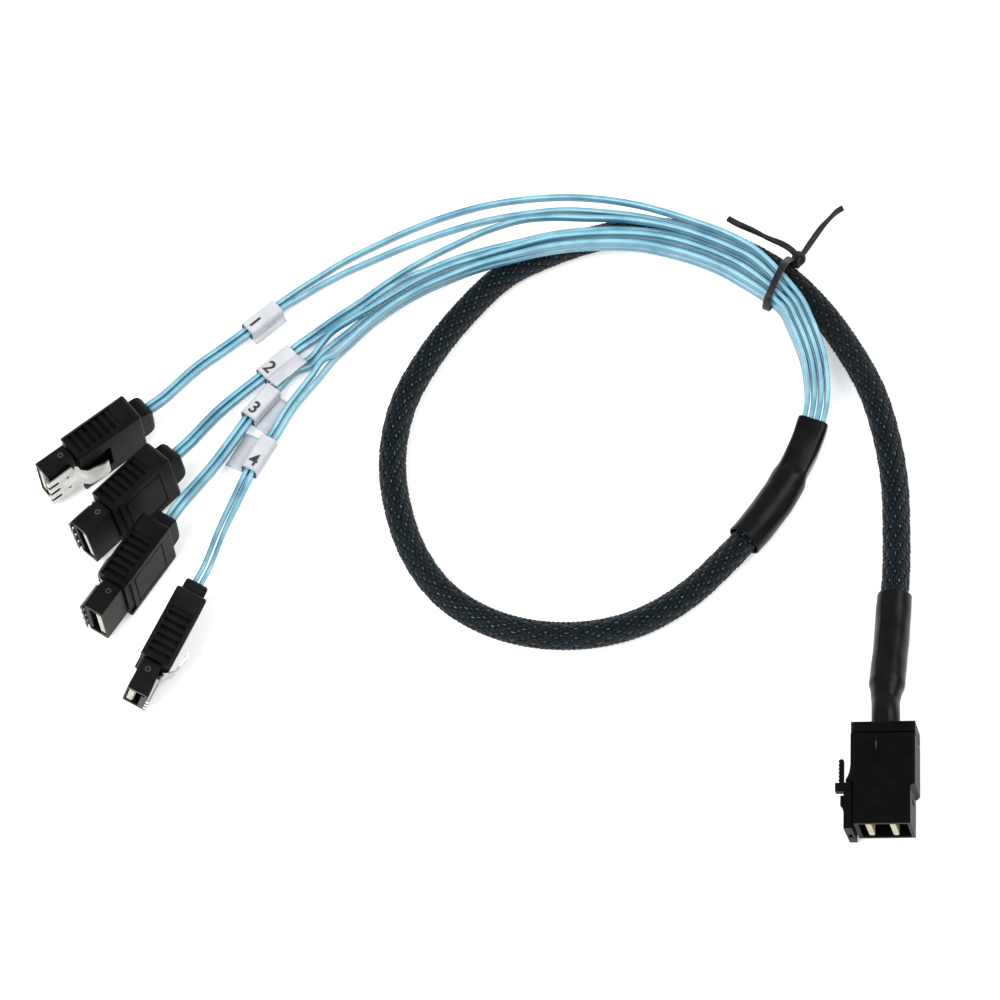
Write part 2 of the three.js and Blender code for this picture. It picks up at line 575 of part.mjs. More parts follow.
const mouth = {
  side: 1.5 * WIRE.pitch + WIRE.thick / 2 + GAP,
  up: WIRE.row / 2 + WIRE.high / 2 + GAP,
};
const shrinkPath = route(SHRINK_ROUTE);
const overSleeve = { outside: [3.5, 3.5, 3.5], inside: [3.12, 3.12, 3.12] };
const overWires = {
  outside: [mouth.side + 0.4, mouth.up + 0.4, 1.3],
  inside: [mouth.side, mouth.up, 0.5],
};
const shrinkStations = [
  { along: 0, ...overSleeve }, { along: 0.2, ...overSleeve }, { along: 0.4, ...overSleeve },
  { along: 0.555, ...overSleeve }, { along: 0.62, ...overWires }, { along: 0.8, ...overWires },
  { along: 1, ...overWires },
];
piece('breakout_shrink', shrinkTube(shrinkPath, shrinkStations), 0x121214, 0.28, 0);

// Wires: stacked two high and four across in the heat-shrink, side by side in each drive plug's collar

const bundle = route(BUNDLE_ROUTE);

function bundlePoint(i, side, up) {
  const u = i / (BUNDLE_ROUTE.length - 1);
  const tangent = bundle.getTangent(u).normalize();
  const across = sideOf(tangent);
  const rise = new THREE.Vector3().crossVectors(tangent, across);
  return bundle.getPoint(u).addScaledVector(across, side).addScaledVector(rise, up);
}

function wireRoute(pair, letter) {
  const spot = DRIVE_PLACES[pair];
  const hand = letter === 'a' ? -1 : 1;
  const points = BUNDLE_ROUTE.map((_, i) => {
    const spread = WIRE.pitch * (1 + 0.03 * Math.max(0, i - 2));
    return bundlePoint(i, (pair - 1.5) * spread, -hand * WIRE.row / 2);
  });
  points.push(...FAN_ROUTES[`${pair + 1}${letter}`].map((p) => new THREE.Vector3(...p)));
  const line = route(PAIR_ROUTES[pair]);
  PAIR_ROUTES[pair].forEach((_, i, list) => {
    const u = i / (list.length - 1);
    const across = sideOf(line.getTangent(u).normalize());
    points.push(line.getPoint(u).addScaledVector(across, hand * WIRE.pitch / 2));
  });
  const flip = spot.turned ? -1 : 1;
  for (const x of [-3.4, -1.0, 1.4]) {
    const end = new THREE.Vector3(x, flip * hand * WIRE.pitch / 2, flip * DRIVE.wireRise);
    points.push(end.applyMatrix4(drives[pair].matrixWorld));
  }
  return route(points, spot.roll);
}

const wireOutline = chamfered(-WIRE.thick / 2, WIRE.thick / 2, -WIRE.high / 2, WIRE.high / 2, 0.2);
for (let pair = 0; pair < 4; pair += 1) {
  for (const letter of ['a', 'b']) {
    piece(`wire_${pair + 1}${letter}`, drawnAlong(wireOutline, wireRoute(pair, letter), WIRE.steps),
      0x6fb8d6, 0.35, 0);
  }
}

// Labels: a wrap round each pair, and a flag that hangs out to one side

const LABELS = [
  { at: 0.22, side: 1, flag: [[1.6, -1.3], [2.4, -2.2]] },
  { at: 0.28, side: 1, flag: [[1.4, 1.35], [4.5, 2.4]] },
  { at: 0.36, side: 1, flag: [[1.5, -1.45], [4.4, -1.85]] },
  { at: 0.41, side: -1, flag: [[1.5, -1.45], [5.2, -1.85]] },
];

LABELS.forEach(({ at, side, flag }, i) => {
  const line = route(PAIR_ROUTES[i]);
  const centre = line.getPointAt(at);
  const tangent = line.getTangentAt(at).normalize();
  const across = sideOf(tangent);
  const up = new THREE.Vector3().crossVectors(tangent, across);
  const halfAcross = WIRE.pitch / 2 + WIRE.thick / 2 + LABEL.room;
  const halfUp = WIRE.high / 2 + LABEL.room;
  const wrap = cut(
    alongX(chamfered(-halfAcross - LABEL.sheet, halfAcross + LABEL.sheet, -halfUp - LABEL.sheet,
      halfUp + LABEL.sheet, 0.3), -LABEL.length / 2, LABEL.length / 2),
    block(-LABEL.length, LABEL.length, -halfAcross, halfAcross, -halfUp, halfUp),
  );
  const [[y0, z0], [y1, z1]] = flag;
  const sheet = [
    [side * y0, z0], [side * y1, z1], [side * y1, z1 + LABEL.sheet], [side * y0, z0 + LABEL.sheet],
  ];
  const loose = alongX(side > 0 ? sheet : sheet.slice().reverse(), -LABEL.length / 2, LABEL.length / 2);
  const frame = new THREE.Matrix4().makeBasis(tangent, across, up).setPosition(centre);
  piece(`label_${i + 1}`, geometryOf(join(wrap, loose)).applyMatrix4(frame), 0xe6e8ea, 0.6, 0);
});

// Tie round the sleeve and the wires: a loop in an upright plane, a knot and two tails

const TIE_PLANE = { at: [63.8, 79.7], toward: [-0.418, -0.908] };
const TIE_LOOP = [
  [7.6, 0.45], [5.3, 1.3], [4.3, 3.7], [5.0, 6.0], [7.1, 8.7], [9.4, 10.9], [11.6, 11.7], [15.6, 11.5],
  [17.6, 10.7], [18.0, 8.5], [17.5, 6.2], [15.8, 4.4], [13.0, 2.2], [10.7, 0.8],
];

function onTiePlane(s, z) {
  return new THREE.Vector3(
    TIE_PLANE.at[0] + s * TIE_PLANE.toward[0], TIE_PLANE.at[1] + s * TIE_PLANE.toward[1], z);
}

function tie() {
  const loop = new THREE.CatmullRomCurve3(TIE_LOOP.map(([s, z]) => onTiePlane(s, z)), true, 'centripetal');
  const normal = new THREE.Vector3(-TIE_PLANE.toward[1], TIE_PLANE.toward[0], 0);
  const rings = [];
  for (let i = 0; i < 40; i += 1) {
    const point = loop.getPointAt(i / 40);
    const out = new THREE.Vector3().crossVectors(loop.getTangentAt(i / 40), normal).normalize();
    rings.push([[-1, -1], [1, -1], [1, 1], [-1, 1]].map(([a, b]) => point.clone()
      .addScaledVector(normal, a * TIE.wide / 2).addScaledVector(out, b * TIE.sheet / 2)));
  }
  const band = solid(skin(rings));
  const tail = (points) => solid(drawnAlong(roundOutline(0.5, 8), route(points), 12));
  const knot = solid(new THREE.SphereGeometry(1.2, 10, 8).scale(1, 1.3, 1).translate(63.4, 75.6, 4.6));
  const stem = tail([[62.9, 74.0, 4.6], [63.1, 74.8, 4.6], [63.4, 75.8, 4.6]]);
  const left = tail([[63.4, 75.8, 4.6], [60.5, 79.0, 4.8], [54.5, 82.6, 4.4], [50.0, 85.5, 3.8]]);
  const right = tail([[63.4, 75.8, 4.6], [66.0, 79.8, 4.6], [70.0, 85.5, 4.2], [72.5, 88.0, 3.6]]);
  return geometryOf(join(band, knot, stem, left, right));
}

piece('twist_tie', tie(), 0x2a2624, 0.75, 0);

export default group;
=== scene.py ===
# Breakout cable: camera, cords, plugs, labels, tie, materials and light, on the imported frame.
import math

import bpy
import numpy as np
from mathutils import Matrix, Vector


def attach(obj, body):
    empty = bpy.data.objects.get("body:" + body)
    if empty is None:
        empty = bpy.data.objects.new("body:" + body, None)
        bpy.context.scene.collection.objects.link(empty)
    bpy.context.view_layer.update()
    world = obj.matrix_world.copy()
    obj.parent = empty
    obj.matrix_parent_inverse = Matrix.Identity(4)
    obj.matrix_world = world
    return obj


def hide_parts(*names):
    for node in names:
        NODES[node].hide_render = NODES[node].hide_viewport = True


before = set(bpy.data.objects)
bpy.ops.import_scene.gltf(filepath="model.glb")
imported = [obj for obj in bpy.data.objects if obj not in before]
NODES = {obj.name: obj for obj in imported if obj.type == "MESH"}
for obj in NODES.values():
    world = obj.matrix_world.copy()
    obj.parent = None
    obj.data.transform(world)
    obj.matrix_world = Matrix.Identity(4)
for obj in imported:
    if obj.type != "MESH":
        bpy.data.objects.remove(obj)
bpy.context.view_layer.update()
ROOT = "cable"
MM = 0.001

# Sizes and routes, in millimetres as in the part's source

WIRE_THICK, WIRE_HIGH, PITCH, ROW = 0.9, 1.7, 1.2, 2.05
RISE = 0.8
ROUTE_SAMPLES = 3000

HOST_FRAME = ((74.5, -23.8, 8.5340), 267.5, 12, 6)
DRIVE_FRAMES = [
    ((-61.1, 41.5, 6.6), 219.7, 0, 0, False),
    ((-55.3, 31.7, 6.8698), 227, 8, 0, True),
    ((-56.0, 18.5, 6.6409), 238, 1, 0, True),
    ((-50.3, 4.6, 8.2070), 244.5, -15, 4, False),
]

BOOT = [
    (74.9, -18.0, 7.8), (75.6, -13.6, 6.7), (76.3, -9.2, 5.7), (77.0, -4.9, 4.8), (77.6, -0.5, 4.0),
    (78.2, 4.4, 3.4)]
SLEEVE = [
    (75.6, -13.6, 6.7), (76.3, -9.2, 5.7), (77.0, -4.9, 4.8), (77.6, -0.5, 4.0), (78.2, 4.4, 3.4),
    (78.9, 10.1, 2.9), (79.4, 18.4, 2.8), (79.6, 27.8, 2.8), (78.7, 37.3, 2.8), (76.4, 47.6, 2.8),
    (72.4, 56.7, 2.8), (67.0, 65.4, 3.1), (60.1, 72.8, 3.7), (51.2, 79.0, 3.1), (41.7, 82.7, 2.8),
    (32.7, 83.2, 2.8), (23.9, 81.5, 2.8), (14.7, 78.0, 2.8), (6.5, 73.4, 2.8), (-1.3, 65.1, 2.8),
    (-8.3, 55.0, 2.8), (-13.2, 44.6, 2.8), (-15.0, 33.5, 2.8), (-14.0, 23.6, 2.8), (-10.7, 13.5, 2.8),
    (-5.1, 5.3, 2.8), (2.5, 0.0, 2.8), (11.7, -2.8, 2.8), (21.9, -2.9, 2.8), (31.1, -0.4, 2.8),
    (39.5, 4.6, 3.0), (46.7, 11.4, 3.2), (53.3, 18.9, 3.5), (59.5, 28.3, 3.5)]
SHRINK = [
    (50.8, 15.9, 3.4), (53.3, 18.9, 3.5), (57.3, 24.5, 3.5), (60.4, 30.2, 3.5), (62.8, 35.2, 3.5),
    (64.6, 40.2, 3.7)]
BUNDLE = [
    (61.1, 31.5, 3.5), (62.8, 35.2, 3.5), (64.6, 40.2, 3.7), (65.5, 44.2, 4.4), (65.6, 47.7, 5.4),
    (65.1, 52.0, 6.7), (64.0, 55.8, 7.7), (62.5, 59.8, 8.4), (60.9, 63.6, 8.5)]
FAN = {
    "1a": [(55.4, 74.5, 9.3), (51.7, 77.5, 9.0), (47.9, 79.6, 9.0), (44.1, 81.2, 9.0), (38.7, 83.3, 9.0),
           (32.5, 85.6, 8.5), (24.8, 88.0, 6.9), (17.3, 89.8, 4.6), (9.2, 90.2, 2.9), (1.4, 89.4, 1.7),
           (-6.5, 87.0, 1.2), (-13.2, 84.0, 1.1), (-19.5, 80.6, 1.1), (-25.0, 77.3, 1.2), (-29.4, 74.1, 1.3),
           (-33.6, 70.8, 1.6)],
    "1b": [(55.6, 74.5, 7.2), (51.8, 77.2, 6.9), (48.0, 79.2, 6.9), (44.2, 80.8, 6.9), (38.8, 82.5, 6.9),
           (32.6, 84.1, 6.7), (24.9, 85.8, 5.6), (17.3, 87.1, 4.1), (9.2, 87.0, 2.6), (1.4, 85.9, 1.6),
           (-6.5, 83.5, 1.1), (-13.1, 80.7, 1.1), (-19.4, 77.6, 1.1), (-25.0, 74.7, 1.1), (-29.4, 71.9, 1.3),
           (-33.6, 68.8, 1.6)],
    "2a": [(53.9, 73.2, 9.2), (50.1, 75.7, 9.0), (45.5, 77.9, 9.0), (40.2, 80.0, 8.9), (34.4, 81.5, 8.8),
           (28.2, 82.6, 8.4), (21.8, 83.3, 7.6), (15.1, 84.1, 6.5), (9.2, 84.2, 5.2), (2.4, 82.7, 3.6),
           (-3.5, 80.2, 2.6), (-8.4, 77.8, 1.9), (-12.7, 75.3, 1.4), (-17.1, 72.2, 1.1), (-21.9, 68.2, 1.1),
           (-26.7, 64.5, 1.2), (-30.5, 61.2, 1.5)],
    "2b": [(53.6, 73.1, 7.1), (49.9, 75.5, 6.9), (45.3, 77.7, 6.9), (40.3, 79.5, 6.9), (34.5, 80.7, 6.9),
           (28.2, 81.1, 6.9), (21.8, 80.8, 6.9), (15.0, 80.1, 6.5), (9.2, 79.2, 5.4), (2.4, 78.2, 3.9),
           (-3.5, 76.9, 2.7), (-8.4, 75.1, 1.9), (-12.6, 73.5, 1.4), (-17.1, 70.6, 1.1), (-21.9, 66.5, 1.1),
           (-26.6, 62.8, 1.2), (-30.4, 59.5, 1.5)],
    "3a": [(52.5, 71.2, 9.1), (48.5, 73.8, 9.0), (43.9, 75.9, 9.0), (38.6, 77.7, 9.0), (32.4, 78.8, 9.0),
           (26.6, 79.0, 9.0), (20.8, 78.7, 9.0), (14.6, 77.9, 9.0), (8.2, 76.3, 8.5), (1.4, 74.9, 7.0),
           (-4.8, 73.6, 5.3), (-10.2, 71.6, 4.0), (-15.0, 68.8, 3.4), (-19.8, 65.6, 3.2), (-23.7, 63.0, 3.2),
           (-27.1, 60.6, 2.8), (-29.5, 58.0, 1.7), (-31.3, 55.5, 1.5)],
    "3b": [(52.2, 71.3, 7.1), (48.3, 73.9, 6.9), (43.7, 76.0, 6.9), (38.3, 77.8, 6.9), (32.5, 78.9, 6.9),
           (26.7, 79.1, 6.9), (20.8, 78.7, 6.9), (14.6, 77.9, 6.9), (8.2, 76.4, 6.5), (1.4, 75.0, 5.0),
           (-4.8, 73.7, 3.2), (-10.3, 71.7, 2.0), (-15.1, 68.9, 1.3), (-19.9, 65.5, 1.1), (-23.7, 61.8, 1.1),
           (-27.1, 58.6, 1.2), (-29.4, 56.1, 1.4), (-31.0, 53.8, 1.6)],
    "4a": [(51.1, 69.6, 9.1), (47.3, 72.0, 9.0), (42.7, 74.0, 9.0), (37.7, 75.6, 9.0), (32.4, 76.8, 9.0),
           (26.6, 77.1, 9.0), (20.8, 76.9, 9.0), (14.6, 76.0, 9.0), (8.2, 74.3, 9.0), (1.4, 72.7, 8.0),
           (-4.7, 70.9, 6.4), (-10.2, 68.9, 5.0), (-15.0, 66.3, 4.0), (-19.8, 62.5, 3.4), (-23.6, 58.7, 3.2),
           (-26.6, 55.6, 3.3), (-28.8, 54.1, 3.4), (-30.7, 51.2, 2.8)],
    "4b": [(50.8, 69.6, 7.1), (47.0, 72.1, 6.9), (42.5, 74.1, 6.9), (37.5, 75.7, 6.9), (32.4, 76.9, 6.9),
           (26.6, 77.2, 6.9), (20.8, 77.0, 6.9), (14.6, 76.1, 6.9), (8.2, 74.4, 6.9), (1.4, 72.8, 6.0),
           (-4.8, 71.0, 4.4), (-10.2, 69.0, 3.0), (-15.1, 66.3, 2.0), (-19.9, 62.6, 1.4), (-23.6, 58.7, 1.2),
           (-26.7, 55.4, 1.1), (-29.1, 51.6, 1.5), (-30.7, 48.9, 2.4)],
}
PAIRS = [
    [(-37.1, 66.6, 2.5), (-40.3, 63.7, 2.5), (-43.5, 60.7, 2.5), (-48.1, 56.4, 3.1), (-52.5, 52.1, 4.1)],
    [(-33.2, 57.6, 2.5), (-36.4, 54.6, 2.5), (-39.7, 51.5, 2.5), (-44.0, 47.3, 2.9), (-47.9, 43.0, 3.7)],
    [(-34.4, 52.4, 2.3), (-37.0, 49.3, 2.4), (-39.7, 45.8, 2.5), (-42.3, 42.2, 2.6), (-45.5, 36.7, 3.1),
     (-48.9, 30.7, 4.1)],
    [(-34.5, 44.5, 2.5), (-37.5, 38.7, 2.5), (-39.9, 34.7, 2.5), (-42.0, 30.3, 2.8), (-44.2, 24.2, 3.6),
     (-46.3, 18.0, 4.9)],
]


class Route:
    """A centripetal Catmull-Rom line through points, as in the part's source."""

    def __init__(self, points, roll=0.0):
        self.p = np.array(points, float)
        self.roll = math.radians(roll)
        self.line = np.array([self.point(t) for t in np.linspace(0, 1, ROUTE_SAMPLES)])
        step = np.linalg.norm(np.diff(self.line, axis=0), axis=1)
        self.s = np.concatenate([[0], np.cumsum(step)])
        self.length = self.s[-1]

    def point(self, t):
        p = self.p
        last = len(p) - 1
        at = t * last
        i = min(int(at), last - 1)
        w = at - i
        p1, p2 = p[i], p[i + 1]
        p0 = p[i - 1] if i > 0 else 2 * p[0] - p[1]
        p3 = p[i + 2] if i + 2 <= last else 2 * p[last] - p[last - 1]
        d0 = max(((p0 - p1) @ (p0 - p1)) ** 0.25, 1e-4)
        d1 = max(((p1 - p2) @ (p1 - p2)) ** 0.25, 1e-4)
        d2 = max(((p2 - p3) @ (p2 - p3)) ** 0.25, 1e-4)
        t1 = ((p1 - p0) / d0 - (p2 - p0) / (d0 + d1) + (p2 - p1) / d1) * d1
        t2 = ((p2 - p1) / d1 - (p3 - p1) / (d1 + d2) + (p3 - p2) / d2) * d1
        c2 = -3 * p1 + 3 * p2 - 2 * t1 - t2
        c3 = 2 * p1 - 2 * p2 + t1 + t2
        return p1 + t1 * w + c2 * w * w + c3 * w ** 3

    def at(self, s):
        return np.stack([np.interp(s, self.s, self.line[:, k]) for k in range(3)], axis=1)

    def frames(self, count):
        """Points evenly along the line with their tangent, side and upward directions."""
        s = np.linspace(0, 1, count) * self.length
        pts = self.at(s)
        h = self.length * 5e-4
        a = self.at(np.clip(s - h, 0, self.length))
        b = self.at(np.clip(s + h, 0, self.length))
        tan = (b - a) / np.linalg.norm(b - a, axis=1)[:, None]
        side = np.cross([0, 0, 1], tan)
        side /= np.linalg.norm(side, axis=1)[:, None]
        up = np.cross(tan, side)
        if self.roll:
            x = np.clip((np.linspace(0, 1, count) - 0.85) / 0.12, 0, 1)
            angle = self.roll * x * x * (3 - 2 * x)
            c, sn = np.cos(angle)[:, None], np.sin(angle)[:, None]
            side, up = side * c + up * sn, up * c - side * sn
        return pts, tan, side, up


def plug_matrix(at, heading, roll, pitch):
    rx = Matrix.Rotation(math.radians(roll), 4, "X")
    ry = Matrix.Rotation(math.radians(pitch), 4, "Y")
    rz = Matrix.Rotation(math.radians(heading), 4, "Z")
    return Matrix.Translation(Vector(at)) @ rz @ ry @ rx


HOST = plug_matrix(*HOST_FRAME)
DRIVES = [plug_matrix(at, h, r + (180 if turned else 0), p) for at, h, r, p, turned in DRIVE_FRAMES]


# Mesh helpers

def new_object(name, verts, faces, uvs=None):
    mesh = bpy.data.meshes.new(name)
    mesh.from_pydata([tuple(v) for v in np.asarray(verts) * MM], [], faces)
    if uvs is not None:
        layer = mesh.uv_layers.new(name="UVMap")
        flat = np.array([uvs[v] for poly in faces for v in poly], float).ravel()
        layer.data.foreach_set("uv", flat)
    mesh.polygons.foreach_set("use_smooth", [True] * len(mesh.polygons))
    mesh.update()
    obj = bpy.data.objects.new(name, mesh)
    bpy.context.scene.collection.objects.link(obj)
    return obj


UV_UNIT = 10


def grid_faces(rows, cols, close=True, offset=0):
    faces = []
    for i in range(rows - 1):
        for j in range(cols if close else cols - 1):
            k = (j + 1) % cols
            a, b = offset + i * cols + j, offset + i * cols + k
            faces.append((a, b, b + cols, a + cols))
    return faces


def tube(name, path, count, section):
    """A closed section of points (side, up), drawn along a route and capped."""
    pts, tan, side, up = path.frames(count)
    rows, uvs = [], []
    cols = len(section)
    for i in range(count):
        for j, (a, b) in enumerate(section):
            rows.append(pts[i] + side[i] * a + up[i] * b)
            uvs.append((i / (count - 1) * path.length / UV_UNIT, j / cols))
    faces = grid_faces(count, cols)
    faces.append(tuple(range(cols))[::-1])
    faces.append(tuple(range((count - 1) * cols, count * cols)))
    return new_object(name, rows, faces, uvs)


def rounded(half_a, half_b, r, per=4):
    out = []
    for q, (sa, sb) in enumerate([(1, 1), (-1, 1), (-1, -1), (1, -1)]):
        for i in range(per):
            t = (q + (i + 0.5) / per) * math.pi / 2
            out.append((sa * (half_a - r) + r * math.cos(t), sb * (half_b - r) + r * math.sin(t)))
    return out


# Materials

def material(name, base, rough, metal=0.0):
    mat = bpy.data.materials.new(name)
    mat.use_nodes = True
    tree = mat.node_tree
    bsdf = tree.nodes["Principled BSDF"]
    bsdf.inputs["Base Color"].default_value = (*base, 1)
    bsdf.inputs["Roughness"].default_value = rough
    bsdf.inputs["Metallic"].default_value = metal
    return mat, tree, bsdf


def vary(tree, bsdf, base, other, scale, rough, bump=0.0, fine=1000):
    """Noise between two colours, a roughness range, and a bump in millimetres."""
    nodes, links = tree.nodes, tree.links
    coord = nodes.new("ShaderNodeTexCoord")
    noise = nodes.new("ShaderNodeTexNoise")
    noise.inputs["Scale"].default_value = scale
    noise.inputs["Detail"].default_value = 6
    links.new(coord.outputs["Object"], noise.inputs["Vector"])
    ramp = nodes.new("ShaderNodeValToRGB")
    ramp.color_ramp.elements[0].position = 0.35
    ramp.color_ramp.elements[1].position = 0.65
    ramp.color_ramp.elements[0].color = (*base, 1)
    ramp.color_ramp.elements[1].color = (*other, 1)
    links.new(noise.outputs["Fac"], ramp.inputs["Fac"])
    links.new(ramp.outputs["Color"], bsdf.inputs["Base Color"])
    span = nodes.new("ShaderNodeMapRange")
    span.inputs["To Min"].default_value = rough[0]
    span.inputs["To Max"].default_value = rough[1]
    links.new(noise.outputs["Fac"], span.inputs["Value"])
    links.new(span.outputs["Result"], bsdf.inputs["Roughness"])
    if bump:
        grain = nodes.new("ShaderNodeTexNoise")
        grain.inputs["Scale"].default_value = fine
        grain.inputs["Detail"].default_value = 3
        links.new(coord.outputs["Object"], grain.inputs["Vector"])
        node = nodes.new("ShaderNodeBump")
        node.inputs["Strength"].default_value = 0.5
        node.inputs["Distance"].default_value = bump * MM
        links.new(grain.outputs["Fac"], node.inputs["Height"])
        links.new(node.outputs["Normal"], bsdf.inputs["Normal"])


def plastic(name, base, other, rough, grain=0.02, scale=350, shine=0.5):
    mat, tree, bsdf = material(name, base, rough)
    bsdf.inputs["Specular IOR Level"].default_value = shine
    vary(tree, bsdf, base, other, scale, (rough - 0.06, rough + 0.08), grain, fine=4500)
    return mat


OVERMOULD = plastic("overmould_plastic", (0.002, 0.002, 0.0025), (0.005, 0.005, 0.0055), 0.46, shine=0.1)
NOSE = plastic("nose_plastic", (0.002, 0.002, 0.0025), (0.0045, 0.0045, 0.005), 0.4, shine=0.13)
HOUSING = plastic("housing_plastic", (0.001, 0.001, 0.0012), (0.0022, 0.0022, 0.0026), 0.42, shine=0.05)
# The marks are lighter grey than the black plastic: painted sheen for the light the moulded marks catch.
MARK_SHEEN = plastic("moulded_mark_painted_sheen", (0.03, 0.03, 0.034), (0.06, 0.06, 0.065), 0.5, shine=0.3)
CARD = plastic("paddle_card", (0.5, 0.45, 0.3), (0.62, 0.57, 0.4), 0.5)
WAFER = plastic("contact_wafer", (0.5, 0.46, 0.38), (0.62, 0.57, 0.46), 0.42)
LABEL = plastic("label_film", (0.50, 0.52, 0.55), (0.57, 0.59, 0.62), 0.5, 0.01, shine=0.2)
TIE = plastic("tie_cover", (0.007, 0.006, 0.005), (0.02, 0.017, 0.015), 0.5, shine=0.25)
INK = plastic("label_ink", (0.02, 0.02, 0.022), (0.04, 0.04, 0.045), 0.6)

SHRINK_MAT, tree, bsdf = material("heat_shrink", (0.004, 0.004, 0.005), 0.3)
vary(tree, bsdf, (0.0015, 0.0015, 0.002), (0.004, 0.004, 0.005), 250, (0.2, 0.36), 0.05, fine=900)
bsdf.inputs["Specular IOR Level"].default_value = 0.13

CLIP, tree, bsdf = material("clip_steel", (0.68, 0.68, 0.69), 0.2, 1.0)
vary(tree, bsdf, (0.40, 0.395, 0.38), (0.58, 0.57, 0.55), 420, (0.12, 0.28), 0.015, fine=2600)

WIRE, tree, bsdf = material("wire_jacket", (0.14, 0.5, 0.7), 0.22)
nodes, links = tree.nodes, tree.links
uv = nodes.new("ShaderNodeUVMap")
split = nodes.new("ShaderNodeSeparateXYZ")
links.new(uv.outputs["UV"], split.inputs["Vector"])
wave = nodes.new("ShaderNodeMath")
wave.operation = "SINE"
turns = nodes.new("ShaderNodeMath")
turns.operation = "MULTIPLY"
turns.inputs[1].default_value = 4 * math.pi
links.new(split.outputs["Y"], turns.inputs[0])
links.new(turns.outputs[0], wave.inputs[0])
cloud = nodes.new("ShaderNodeTexNoise")
cloud.inputs["Scale"].default_value = 160
cloud.inputs["Detail"].default_value = 4
coord = nodes.new("ShaderNodeTexCoord")
links.new(coord.outputs["Object"], cloud.inputs["Vector"])
mix = nodes.new("ShaderNodeMath")
mix.operation = "MULTIPLY_ADD"
mix.inputs[1].default_value = 0.16
links.new(wave.outputs[0], mix.inputs[0])
links.new(cloud.outputs["Fac"], mix.inputs[2])
ramp = nodes.new("ShaderNodeValToRGB")
ramp.color_ramp.elements[0].position = 0.3
ramp.color_ramp.elements[0].color = (0.05, 0.25, 0.38, 1)
ramp.color_ramp.elements[1].position = 0.72
ramp.color_ramp.elements[1].color = (0.30, 0.60, 0.70, 1)
links.new(mix.outputs[0], ramp.inputs["Fac"])
# Towards the wire's outline, as seen along the ray, the colour turns dark blue: painted shade on the wire's
# sides.
edge_shade_weight = nodes.new("ShaderNodeLayerWeight")
edge_shade_weight.inputs["Blend"].default_value = 0.42
edge = nodes.new("ShaderNodeMix")
edge.data_type = "RGBA"
edge.inputs["B"].default_value = (0.012, 0.13, 0.22, 1)
links.new(edge_shade_weight.outputs["Facing"], edge.inputs["Factor"])
links.new(ramp.outputs["Color"], edge.inputs["A"])
links.new(edge.outputs["Result"], bsdf.inputs["Base Color"])
bsdf.inputs["Subsurface Weight"].default_value = 0.35
bsdf.inputs["Subsurface Radius"].default_value = (0.4, 0.9, 1.0)
bsdf.inputs["Subsurface Scale"].default_value = 0.0009
bsdf.inputs["Coat Weight"].default_value = 0.4
bsdf.inputs["Coat Roughness"].default_value = 0.12

BRAID, tree, bsdf = material("sleeve_braid", (0.01, 0.012, 0.014), 0.3)
nodes, links = tree.nodes, tree.links
uv = nodes.new("ShaderNodeUVMap")
split = nodes.new("ShaderNodeSeparateXYZ")
links.new(uv.outputs["UV"], split.inputs["Vector"])
turns = nodes.new("ShaderNodeMath")
turns.operation = "MULTIPLY"
turns.inputs[1].default_value = 3 * 2 * math.pi
links.new(split.outputs["Y"], turns.inputs[0])
wave = nodes.new("ShaderNodeMath")
wave.operation = "COSINE"
links.new(turns.outputs[0], wave.inputs[0])
bump = nodes.new("ShaderNodeBump")
bump.inputs["Strength"].default_value = 0.9
bump.inputs["Distance"].default_value = 0.08 * MM
bump.invert = True
links.new(wave.outputs[0], bump.inputs["Height"])
links.new(bump.outputs["Normal"], bsdf.inputs["Normal"])
# The base colour follows the filament relief: darker in the grooves between filaments, painted shade.
ramp = nodes.new("ShaderNodeValToRGB")
ramp.color_ramp.elements[0].color = (0.005, 0.007, 0.009, 1)
ramp.color_ramp.elements[1].color = (0.001, 0.0015, 0.002, 1)
bsdf.inputs["Specular IOR Level"].default_value = 0.2
half = nodes.new("ShaderNodeMapRange")
half.inputs["From Min"].default_value = -1
links.new(wave.outputs[0], half.inputs["Value"])
links.new(half.outputs["Result"], ramp.inputs["Fac"])
links.new(ramp.outputs["Color"], bsdf.inputs["Base Color"])

# The core stands for the wires inside the braid: their blue painted darker for the shade inside the sleeve, with
# lighter blue flecks as painted glints.
CORE_SHADE_AND_GLINTS, tree, bsdf = material("sleeve_core", (0.01, 0.05, 0.07), 0.4)
vary(tree, bsdf, (0.006, 0.05, 0.08), (0.04, 0.24, 0.33), 700, (0.3, 0.5), 0.0)


def paint(obj, mat, body=ROOT):
    obj.data.materials.clear()
    obj.data.materials.append(mat)
    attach(obj, body)
    return obj


# Camera

TARGET = Vector((5.3, 26.0, 0.0)) * MM
ELEVATION = math.radians(64)
DISTANCE = 596 * MM
camera_data = bpy.data.cameras.new("camera")
camera_data.sensor_width = 36
camera_data.lens = 3157 * 36 / 1000
camera_data.clip_start = 0.01
camera = bpy.data.objects.new("camera", camera_data)
bpy.context.scene.collection.objects.link(camera)
camera.location = TARGET + DISTANCE * Vector((0, -math.cos(ELEVATION), math.sin(ELEVATION)))
camera.rotation_euler = (math.pi / 2 - ELEVATION, 0, 0)
bpy.context.scene.camera = camera

# Cords: the wires

bundle = Route(BUNDLE)


def bundle_points(column, row):
    out = []
    last = len(BUNDLE) - 1
    for i, p in enumerate(BUNDLE):
        u = i / last
        a, b = bundle.point(max(u - 1e-4, 0)), bundle.point(min(u + 1e-4, 1))
        tan = (b - a) / np.linalg.norm(b - a)
        side = np.cross([0, 0, 1], tan)
        side /= np.linalg.norm(side)
        up = np.cross(tan, side)
        spread = PITCH * (1 + 0.03 * max(0, i - 2))
        out.append(np.array(p) + side * column * spread + up * row)
    return out


